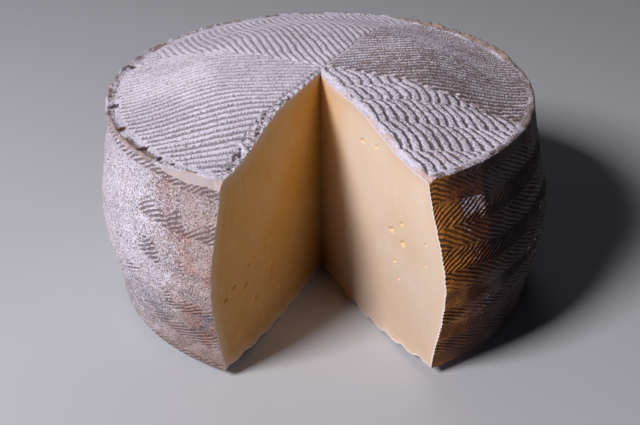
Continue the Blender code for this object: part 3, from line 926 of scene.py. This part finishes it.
# On the right-hand side the ground is made very dark brown: partly its own colour, partly painted shade.
ground = np.tile(np.array(TAUPE), (len(x), 1))
for colour, share in ((WARM_BEIGE, left_side + foot), (SLATE, 0.9 * left_side * slate),
                      (BROWN_AND_PAINTED_SHADE, right_side * (0.95 + 0.2 * patches)), (RED_BROWN, 0.9 * right_side * red),
                      (AMBER, 0.95 * right_side * amber), (SALMON, 0.85 * left_side * blush),
                      (TAN, lip_tan + 0.6 * low_tan), (PEACH, crest_band * (0.5 + 0.4 * spots))):
    ground = blend(ground, colour, share)
for spot_x, spot_y, spot_size in RUST_SPOTS:
    spot = top * bump(np.hypot(x - spot_x, y - spot_y), 0.0, spot_size)
    ground = blend(ground, RUST, 1.6 * spot * smooth_step(0.6 + spots))
ground = blend(ground, PEACH, np.maximum(bare, 0.9 * smear))

# Pale lilac on the crests of the right-hand strokes, most in one row near the cut: a thin bloom and a
# painted highlight.
bloom_and_painted_highlight = bump(right_gap, 0.016, 0.008) * (np.abs(skin["row"] - HIGHLIGHT_ROW) < 0.5)
bloom_and_painted_highlight = bloom_and_painted_highlight * smooth_step(0.5 + 1.6 * lumps(x, y, z, 0.0042, 94)) + 0.30 * smooth_step(0.3 + patches)
bloom_and_painted_highlight = (0.10 + 0.75 * bloom_and_painted_highlight) * (0.25 + 0.75 * smooth_step((-5 - turn) / 30))
crest = smooth_step((0.30 - hollow) / 0.20) * smooth_step((right_gap - 0.006) / 0.008)
bloom = np.where(top, 0.86, 0.0) + np.where(foot, 0.45, 0.0) + right_side * (0.02 + bloom_and_painted_highlight * crest)
bloom = bloom + left_side * (0.70 - 0.22 * smooth_step((0.045 - z) / 0.03) - 0.15 * blush - 0.32 * near_cut)
bloom = bloom - back_right * (0.20 + 0.16 * smooth_step((40 - angle) / 50))
bloom = bloom - lip_band * (0.25 - 0.40 * spots + 0.30 * between(turn, 10, 60, 6))
bloom = bloom - smear * (0.28 - 0.20 * spots) - 0.20 * strip - 0.3 * crest_band
bloom = bloom + 0.12 * patches + 0.06 * spots
bloom = bloom + 0.10 * (left_side + top) * grain(x, y, z, 0.0022, 93, 2)

dirt = 0.34 * top + 0.72 * left_side + 0.45 * right_side + 0.40 * strip + 0.15 * patches
dirt = dirt - 0.10 * back_right + 0.16 * leaves + 0.30 * lip_band
dirt = dirt * (1 - bare) * (1 - 0.8 * smear)

# How dark the hollows are made: partly dirt and partly painted shade, more at the front of the top, on the
# side and in the pits behind the lip.
hollow_dirt_and_shade = np.where(top, 0.18 + 0.34 * smooth_step((0.005 - y) / 0.06), 0.66 + 0.22 * right_side)
hollow_dirt_and_shade = hollow_dirt_and_shade + 0.36 * back_right + 0.20 * leaves + 0.30 * strip
hollow_dirt_and_shade = hollow_dirt_and_shade * (1 - 0.30 * top * smooth_step((y - 0.035) / 0.04))
hollow_dirt_and_shade = hollow_dirt_and_shade + 0.60 * pit_band * smooth_step((hollow - 0.5) / 0.2)

thin = left_side * (0.08 + 0.16 * near_cut + 0.10 * smooth_step(patches))
thin = thin + 0.08 * top * smooth_step((y + 0.01) / 0.05)
marks = {"bloom": bloom, "hollow": hollow, "bare": bare, "beat": skin["beat"],
         "beaten": skin["beaten"], "dirt": dirt, "hollow_dirt_and_shade": hollow_dirt_and_shade, "thin": thin}
print("bloom covers", round(100 * float(np.clip(bloom, 0, 1).mean())), "per cent of the rind")

# %% [markdown]
# ## Nodes in plain words
# Each material is a small tree of nodes. These helpers make a node, join it up and give back its
# output, so that a material below reads from top to bottom like a recipe.

# %% Helpers for materials


def start_material(name):
    """A new material with its shader; the tree's other nodes are added as they are needed."""
    made = bpy.data.materials.new(name)
    made.use_nodes = True
    return made, made.node_tree, made.node_tree.nodes["Principled BSDF"]


def put(tree, socket, value):
    """Sets an input to a plain value, or joins it to another node's output."""
    if isinstance(value, bpy.types.NodeSocket):
        tree.links.new(value, socket)
    elif isinstance(value, tuple) and len(value) == 3 and socket.type == "RGBA":
        socket.default_value = (*value, 1.0)
    else:
        socket.default_value = value


def math_node(tree, operation, first, second=0.0):
    """One step of arithmetic on values or on other nodes' outputs."""
    made = tree.nodes.new("ShaderNodeMath")
    made.operation = operation
    put(tree, made.inputs[0], first)
    put(tree, made.inputs[1], second)
    return made.outputs[0]


def plus(tree, first, second):
    return math_node(tree, "ADD", first, second)


def minus(tree, first, second):
    return math_node(tree, "SUBTRACT", first, second)


def times(tree, first, second):
    return math_node(tree, "MULTIPLY", first, second)


def mix_node(tree, share, under, over, way="MIX"):
    """Lays one colour over another by a share."""
    made = tree.nodes.new("ShaderNodeMix")
    made.data_type = "RGBA"
    made.blend_type = way
    made.clamp_factor = True
    put(tree, made.inputs[0], share)
    put(tree, made.inputs[6], under)
    put(tree, made.inputs[7], over)
    return made.outputs[2]


def noise_node(tree, size, detail=3.0, roughness=0.55):
    """Noise whose spots are about size across, in metres."""
    place = tree.nodes.new("ShaderNodeTexCoord")
    made = tree.nodes.new("ShaderNodeTexNoise")
    made.inputs["Scale"].default_value = 1 / size
    made.inputs["Detail"].default_value = detail
    made.inputs["Roughness"].default_value = roughness
    tree.links.new(place.outputs["Object"], made.inputs["Vector"])
    return made.outputs["Fac"]


def step_node(tree, value, low, high):
    """0 below low and 1 above high, soft between."""
    made = tree.nodes.new("ShaderNodeMapRange")
    made.interpolation_type = "SMOOTHSTEP"
    put(tree, made.inputs["Value"], value)
    made.inputs["From Min"].default_value = low
    made.inputs["From Max"].default_value = high
    return made.outputs["Result"]


def mark_node(tree, name, colour=False):
    """Reads a mark that each point of the mesh carries."""
    made = tree.nodes.new("ShaderNodeAttribute")
    made.attribute_name = name
    return made.outputs["Color"] if colour else made.outputs["Fac"]


def bump_node(tree, height, distance, strength=1.0, under=None):
    """Tilts the surface as a relief of that height would, on top of another such relief."""
    made = tree.nodes.new("ShaderNodeBump")
    made.inputs["Distance"].default_value = distance
    made.inputs["Strength"].default_value = strength
    tree.links.new(height, made.inputs["Height"])
    if under is not None:
        tree.links.new(under, made.inputs["Normal"])
    return made.outputs["Normal"]


print("helpers ready")

# %% [markdown]
# ## The rind
# Close up, the rind is a brown ground under a dry, mealy bloom of white and lilac grey, peppered with
# fine dark specks, and the grooves are darkened, partly as dirt that the bloom doesn't reach and partly
# as painted shade. The bloom is a noise compared with how thick it should be at each point, so where it
# is thin the ground shows between specks.
#
# The hollows are darkened twice. Their shoulders are worn down to the ground, and their middles are
# darkened, partly as dirt and partly as painted shade. Along a ridge the beat lifts that darkening again
# and again, which leaves the dashes.

# %% Rind material
BLOOM_WHITE = (0.755, 0.710, 0.830)
BLOOM_GREY = (0.500, 0.450, 0.530)
# The dark colour serves both the dark specks of dirt and the painted shade in the hollows.
DIRT_AND_SHADE_TINT = (0.26, 0.22, 0.22)
DIRT_AND_SHADE_DARK = (0.050, 0.034, 0.034)
BARE_WARM = (0.500, 0.405, 0.380)
BARE_COOL = (0.445, 0.390, 0.425)
MEAL_SIZE = 0.00075
SPECK_SIZE = 0.00060
PATCH_SIZE = 0.0050
CLOUD_SIZE = 0.0220

rind, tree, shader = start_material("natural rind")
fine = noise_node(tree, MEAL_SIZE, 3.0, 0.6)
medium = noise_node(tree, PATCH_SIZE, 3.0, 0.6)
broad = noise_node(tree, CLOUD_SIZE)
pepper = noise_node(tree, SPECK_SIZE, 2.0, 0.6)

mottle = plus(tree, 0.60, times(tree, medium, 0.80))
shade = tree.nodes.new("ShaderNodeCombineColor")
for channel in shade.inputs:
    tree.links.new(mottle, channel)
ground_colour = mix_node(tree, 1.0, mark_node(tree, "ground", colour=True), shade.outputs[0], "MULTIPLY")
dark_colour = mix_node(tree, 1.0, ground_colour, DIRT_AND_SHADE_TINT, "MULTIPLY")
dark_colour = mix_node(tree, 0.5, dark_colour, DIRT_AND_SHADE_DARK)

cover = plus(tree, 0.26, times(tree, mark_node(tree, "bloom"), 0.48))
uneven = plus(tree, times(tree, fine, 0.75), times(tree, medium, 0.25))
covered = step_node(tree, minus(tree, cover, uneven), -0.05, 0.06)
covered = times(tree, covered, minus(tree, 1.0, mark_node(tree, "thin")))
bloom_colour = mix_node(tree, step_node(tree, broad, 0.35, 0.70), BLOOM_WHITE, BLOOM_GREY)
bloom_colour = mix_node(tree, 0.5, BLOOM_WHITE, bloom_colour)
colour = mix_node(tree, covered, ground_colour, bloom_colour)

peppered = plus(tree, pepper, times(tree, mark_node(tree, "dirt"), 0.17))
peppered = times(tree, step_node(tree, peppered, 0.645, 0.70), 0.85)
colour = mix_node(tree, peppered, colour, dark_colour)

wave = math_node(tree, "SINE", times(tree, mark_node(tree, "beat"), 2 * math.pi))
gap = times(tree, step_node(tree, wave, -0.35, 0.45), mark_node(tree, "beaten"))
deep = minus(tree, mark_node(tree, "hollow"), times(tree, gap, 0.40))
deep = plus(tree, deep, times(tree, minus(tree, fine, 0.5), 0.9))
worn = times(tree, step_node(tree, deep, 0.25, 0.50), 0.45)
grooved = step_node(tree, deep, 0.44, 0.62)
colour = mix_node(tree, worn, colour, ground_colour)
# The hollows' middles are darkened: partly dirt, partly painted shade.
colour = mix_node(tree, times(tree, grooved, mark_node(tree, "hollow_dirt_and_shade")), colour, dark_colour)

bare_colour = mix_node(tree, step_node(tree, medium, 0.40, 0.65), BARE_WARM, BARE_COOL)
colour = mix_node(tree, times(tree, mark_node(tree, "bare"), 0.92), colour, bare_colour)
put(tree, shader.inputs["Base Color"], colour)
put(tree, shader.inputs["Specular IOR Level"], 0.30)
put(tree, shader.inputs["Roughness"], plus(tree, 0.48, times(tree, covered, 0.40)))
rough = bump_node(tree, fine, 0.00050, 0.8)
rough = bump_node(tree, times(tree, grooved, -1.0), 0.00025, 0.8, rough)
put(tree, shader.inputs["Normal"], rough)
print("rind material has", len(tree.nodes), "nodes")

# %% [markdown]
# ## The paste
# The cut paste is dense, smooth and waxy. It is ivory in the light and honey-coloured in the shade,
# because light that has been inside it or has bounced from it comes back yellower. That shade is also
# painted into the colour: the mark "deep" paints the honey yellow strongly on the left cut, which is in
# shade, and near the knife's point on both cuts. A second mark paints shade that darkens and cools the
# paste towards the foot.
#
# Just under the rind the paste is drier: a thin white line, then a slightly grey and glassy band. The
# mark "crust" gives how far a point is from the rind, and two soft steps of it make both. Along the
# top of the right cut the mark "smear" adds crumbs that the knife dragged over the edge.

# %% Paste material
PASTE = (0.835, 0.705, 0.575)
# The deep paste colour is painted shade: the honey yellow that the paste shows in the shade.
PASTE_PAINTED_SHADE = (0.700, 0.365, 0.060)
# Painted shade that darkens and cools the paste towards the foot.
PASTE_PAINTED_FOOT_SHADE = (0.720, 0.670, 0.650)
PASTE_GLASSY = (0.760, 0.540, 0.380)
PASTE_LINE = (0.860, 0.780, 0.780)
PASTE_CRUMBS = (0.780, 0.620, 0.580)
# The eyes' amber is partly their own colour and partly painted light, as if lit from inside.
EYE_AMBER_AND_PAINTED_LIGHT = (0.930, 0.560, 0.130)
PASTE_CLOUD_SIZE = 0.0300
CURD_SIZE = 0.0045
TOOTH_SIZE = 0.0008
GLASSY_FROM = 0.0065
GLASSY_TO = 0.0010
LINE_FROM = 0.0011
LINE_TO = 0.0004

paste, tree, shader = start_material("pressed paste")
cloud = noise_node(tree, PASTE_CLOUD_SIZE, 2.0)
curd = noise_node(tree, CURD_SIZE)
tooth = noise_node(tree, TOOTH_SIZE)
crust = mark_node(tree, "crust")
# Painted shade: the mark "deep" mixes the honey colour of the shade into the paste, plus a little random
# tone.
painted_shade_share = plus(tree, mark_node(tree, "deep"), times(tree, step_node(tree, cloud, 0.30, 0.70), 0.16))
colour = mix_node(tree, painted_shade_share, PASTE, PASTE_PAINTED_SHADE)
# Painted shade: the paste is made darker and cooler towards the foot.
colour = mix_node(tree, mark_node(tree, "painted_foot_shade"), colour, PASTE_PAINTED_FOOT_SHADE, "MULTIPLY")
crumbly = plus(tree, mark_node(tree, "smear"), times(tree, curd, 0.8))
crumbly = times(tree, step_node(tree, crumbly, 0.70, 1.0), 0.75)
colour = mix_node(tree, crumbly, colour, PASTE_CRUMBS)
colour = mix_node(tree, times(tree, step_node(tree, curd, 0.50, 0.72), 0.10), colour, PASTE_LINE)
glassy = times(tree, step_node(tree, crust, GLASSY_FROM, GLASSY_TO), 0.55)
colour = mix_node(tree, glassy, colour, PASTE_GLASSY)
white_line = times(tree, step_node(tree, crust, LINE_FROM, LINE_TO), 0.80)
colour = mix_node(tree, white_line, colour, PASTE_LINE)
# Bright amber in the eyes: partly their own colour, partly painted light caught inside them.
colour = mix_node(tree, times(tree, mark_node(tree, "eye"), 0.80), colour, EYE_AMBER_AND_PAINTED_LIGHT)
put(tree, shader.inputs["Base Color"], colour)
put(tree, shader.inputs["Specular IOR Level"], 0.45)
put(tree, shader.inputs["Subsurface Weight"], 0.22)
put(tree, shader.inputs["Subsurface Radius"], (1.0, 0.55, 0.22))
put(tree, shader.inputs["Subsurface Scale"], 0.004)
put(tree, shader.inputs["Roughness"], plus(tree, 0.36, times(tree, curd, 0.22)))
put(tree, shader.inputs["Normal"], bump_node(tree, tooth, 0.00004, 1.0, bump_node(tree, curd, 0.00012)))
print("paste material has", len(tree.nodes), "nodes")

# %% [markdown]
# ## Pieces of rind
# The skin is shared out between seven meshes: the top in two halves, the side in four and the underside.
# Each keeps the normals and marks that its points had in the whole skin.


def make_piece(name, points, triangles, normals, marks, ground, material):
    """A mesh from arrays; it keeps only the points that its triangles use."""
    used, places = np.unique(triangles, return_inverse=True)
    faces = places.reshape(triangles.shape).astype(np.int32)
    mesh = bpy.data.meshes.new(name)
    mesh.vertices.add(len(used))
    mesh.vertices.foreach_set("co", points[used].astype(np.float32).ravel())
    mesh.loops.add(faces.size)
    mesh.loops.foreach_set("vertex_index", faces.ravel())
    mesh.polygons.add(len(faces))
    mesh.polygons.foreach_set("loop_start", np.arange(0, faces.size, 3, dtype=np.int32))
    mesh.polygons.foreach_set("loop_total", np.full(len(faces), 3, dtype=np.int32))
    mesh.update(calc_edges=True)
    for mark, values in marks.items():
        layer = mesh.attributes.new(mark, "FLOAT", "POINT")
        layer.data.foreach_set("value", values[used].astype(np.float32))
    if ground is not None:
        layer = mesh.attributes.new("ground", "FLOAT_COLOR", "POINT")
        layer.data.foreach_set("color", np.c_[ground[used], np.ones(len(used))].astype(np.float32).ravel())
    mesh.shade_smooth()
    mesh.normals_split_custom_set_from_vertices(normals[used])
    mesh.materials.append(material)
    piece = bpy.data.objects.new(name, mesh)
    bpy.context.scene.collection.objects.link(piece)
    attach(piece, "root")
    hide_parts("cheese_wheel")
    print(name, "has", len(faces), "triangles")


last_share = skin["share"][triangles].max(axis=1)
middle_part = np.round(skin["part"][triangles].mean(axis=1))
middle_part[np.abs(skin["part"][triangles]).min(axis=1) < 0.5] = 0
for part, stem, names in ((1, "rind_top_", ("right", "left")),
                          (0, "rind_side_", ("front_right", "back_right", "back_left", "front_left"))):
    for number, name in enumerate(names):
        chosen = (last_share > number / len(names)) & (last_share <= (number + 1) / len(names))
        piece_triangles = triangles[chosen & (middle_part == part)]
        make_piece(stem + name, points, piece_triangles, normals, marks, ground, rind)
make_piece("rind_underside", points, triangles[middle_part == -1], normals, marks, ground, rind)

# %% [markdown]
# ## The two cuts
# A knife leaves a flat, faintly wavy face, with a few eyes where gas gathered in the curd and short
# scratches where the blade dragged. The outline of each face is the edge of the rind that is already
# there. It is filled with a fine net of triangles, closer round each eye, and the eyes are pushed in.
#
# An eye is given in millimetres: its distance from the knife's point, its height, its width, how tall
# it is and how deep. The last four on the left are fine cracks high up in the face.

# %% Eyes and marks of the knife
MM = 0.001
FACE_SPACING = 0.00085
FACE_REACH = 0.1
EYE_CLEARANCE = 1.3
EYE_RINGS = ((0.0, 1), (0.35, 6), (0.62, 10), (0.82, 14), (0.94, 16), (1.02, 18), (1.16, 18))
FACE_WAVES = 0.00012
SCRATCH_DEPTH = 0.00005
CALM_AT_RIND = 0.0015
CALM_AT_POINT = 0.003
PAINTED_SHADE_REACH = 0.034
CRUMBS_DEPTH = 0.0045
# The last number of each cut is how much painted shade its whole face gets; the left cut is in shade.
CUTS = {"cut_right": {"share": 0.0, "turn": RIGHT_CUT, "outward": 1.0, "painted_shade": 0.05},
        "cut_left": {"share": 1.0, "turn": LEFT_CUT, "outward": -1.0, "painted_shade": 0.85}}
EYES = {
    "cut_right": ((60.3, 53.4, 3.6, 2.0, 1.4), (66.6, 59.2, 2.6, 1.6, 1.0), (67.7, 51.0, 3.6, 2.2, 1.4),
                  (63.0, 40.5, 2.0, 1.4, 0.9), (81.4, 48.8, 2.0, 1.2, 0.9), (81.3, 58.0, 1.8, 1.2, 0.8),
                  (38.1, 82.2, 2.6, 1.6, 1.0), (48.4, 84.1, 2.4, 1.4, 0.9), (66.0, 34.0, 1.8, 1.4, 0.8)),
    "cut_left": ((48.0, 30.9, 4.6, 3.6, 1.7), (69.3, 34.1, 4.0, 2.4, 1.1), (76.9, 38.1, 3.6, 1.8, 0.8),
                 (82.8, 35.9, 3.0, 2.0, 0.8), (62.6, 23.4, 3.0, 2.4, 1.0), (42.3, 15.5, 3.4, 2.4, 1.1),
                 (66.0, 41.6, 1.8, 1.2, 0.6), (61.5, 42.8, 1.6, 1.2, 0.6), (48.0, 72.0, 0.8, 5.0, 0.5),
                 (59.0, 63.0, 0.8, 3.0, 0.4), (66.0, 80.0, 0.8, 2.8, 0.4), (25.0, 86.0, 1.1, 1.6, 0.5)),
}


def inside_outline(x, y, outline):
    """Which points lie inside a closed outline, by counting the edges to one side of each."""
    inside = np.zeros(len(x), bool)
    for (ax, ay), (bx, by) in zip(outline, np.roll(outline, -1, axis=0)):
        if ay != by:
            crossing = (ay > y) != (by > y)
            inside ^= crossing & (x < (bx - ax) * (y - ay) / (by - ay) + ax)
    return inside


def outline_gap(x, y, outline):
    """How far each point is from the nearest edge of an outline."""
    nearest = np.full(len(x), 1.0)
    for (ax, ay), (bx, by) in zip(outline, outline[1:]):
        length = max((bx - ax) ** 2 + (by - ay) ** 2, 1e-16)
        share = np.clip(((x - ax) * (bx - ax) + (y - ay) * (by - ay)) / length, 0, 1)
        nearest = np.minimum(nearest, np.hypot(x - ax - share * (bx - ax), y - ay - share * (by - ay)))
    return nearest


def off_eye(distance, height, eye):
    """How far points are from an eye's middle: 1 at its edge, whichever way."""
    return np.hypot((distance - eye[0] * MM) / (eye[2] * MM / 2), (height - eye[1] * MM) / (eye[3] * MM / 2))


def eye_shape(distance, height, eyes):
    """How deep the paste is hollowed at a point, and how much it is inside an eye."""
    deep, inside = np.zeros_like(distance), np.zeros_like(distance)
    for eye in eyes:
        off = off_eye(distance, height, eye)
        deep = np.maximum(deep, eye[4] * MM * np.sqrt(np.maximum(0.0, 1 - off**2)))
        inside = np.maximum(inside, smooth_step((1.15 - off) / 0.5))
    return deep, inside


def face_points(outline, eyes):
    """The loose points of a face: an even net, and closer rings round each eye."""
    rows = np.arange(0.0, FACE_REACH, FACE_SPACING * 0.866)
    steps = np.arange(0.0, FACE_REACH, FACE_SPACING)
    net_x = (steps[None, :] + (np.arange(len(rows)) % 2)[:, None] * FACE_SPACING / 2).ravel()
    net_y = np.repeat(rows, len(steps))
    for eye in eyes:
        outside = off_eye(net_x, net_y, eye) > EYE_CLEARANCE
        net_x, net_y = net_x[outside], net_y[outside]
    ring_x, ring_y = [], []
    for middle, level, width, tall, _ in eyes:
        for reach, count in EYE_RINGS:
            turns = 2 * math.pi * (np.arange(count) + 0.5 * (reach > 0.7)) / count
            ring_x.append(MM * (middle + reach * width / 2 * np.cos(turns)))
            ring_y.append(MM * (level + reach * tall / 2 * np.sin(turns)))
    x, y = np.concatenate([net_x, *ring_x]), np.concatenate([net_y, *ring_y])
    kept = inside_outline(x, y, outline)
    x, y = x[kept], y[kept]
    clear = outline_gap(x, y, np.vstack([outline, outline[:1]])) > FACE_SPACING * 0.45
    return x[clear], y[clear]


def fill_face(edge_line, eyes):
    """Triangles inside a face's outline, the points they use, and which outline point each came from."""
    spine_count = int((edge_line[0, 1] - edge_line[-1, 1]) / FACE_SPACING)
    spine_z = np.linspace(edge_line[-1, 1], edge_line[0, 1], spine_count + 1)[1:-1]
    outline = np.vstack([edge_line, np.stack([np.zeros_like(spine_z), spine_z], 1)])
    flat = np.vstack([outline, np.stack(face_points(outline, eyes), 1)])
    edges = [(index, (index + 1) % len(outline)) for index in range(len(outline))]
    flat_mm = [Vector(point) for point in flat / MM]
    placed, _, faces, origins, _, _ = delaunay_2d_cdt(flat_mm, edges, [], 1, 1e-7)
    placed = np.array([(point.x, point.y) for point in placed]) * MM
    return placed, np.array([tuple(face) for face in faces]), origins


def make_cut(name, share, turn, outward, painted_shade):
    """One face of the wedge: its outline comes from the ends of the rings, and the rest is filled in."""
    right = share == 0.0
    edge = starts[:-1] if right else starts[1:] - 1
    edge_line = np.stack([skin["distance"][edge], skin["z"][edge]], 1)
    placed, faces, origins = fill_face(edge_line, EYES[name])
    if not right:
        faces = faces[:, ::-1]

    along, height = placed.T
    rind_gap = outline_gap(along, height, edge_line)
    deep, in_eye = eye_shape(along, height, EYES[name])
    seed = 101 if right else 100
    wavy = FACE_WAVES * lumps(along, height, 0.0, 0.016, seed)
    scratch = SCRATCH_DEPTH * lumps(along, height * 0.12, 0.0, 0.0014, seed + 2)
    inward = (deep + wavy + scratch) * smooth_step(rind_gap / CALM_AT_RIND)
    inward = inward * smooth_step(along / CALM_AT_POINT)
    x, y = ray_point(share, along)
    facing = outward * np.array((math.sin(turn), -math.cos(turn)))
    made = np.stack([x - facing[0] * inward, y - facing[1] * inward, height], 1)
    made = np.clip(made, low, high)
    for index, found in enumerate(origins):
        if found and found[0] < len(edge):
            made[index] = points[edge[found[0]]]

    top_line = edge_line[skin["part"][edge] > 0.5]
    below_top = np.interp(along, top_line[:, 0], top_line[:, 1]) - height
    face_marks = {
        "crust": rind_gap,
        "eye": in_eye,
        # Painted shade: strong on the left cut, and growing towards the knife's point on both cuts.
        "deep": painted_shade + (1 - painted_shade) * 0.7 * smooth_step(1 - along / PAINTED_SHADE_REACH),
        # Painted shade, growing towards the foot of each cut.
        "painted_foot_shade": 0.85 * smooth_step(1 - height / (0.100 - 0.015 * share)),
        "smear": (1 - share) * smooth_step(1 - below_top / CRUMBS_DEPTH) * (along > 0.006),
    }
    make_piece(name, made, faces, vertex_normals(made, faces), face_marks, None, paste)


for name, values in CUTS.items():
    make_cut(name, **values)
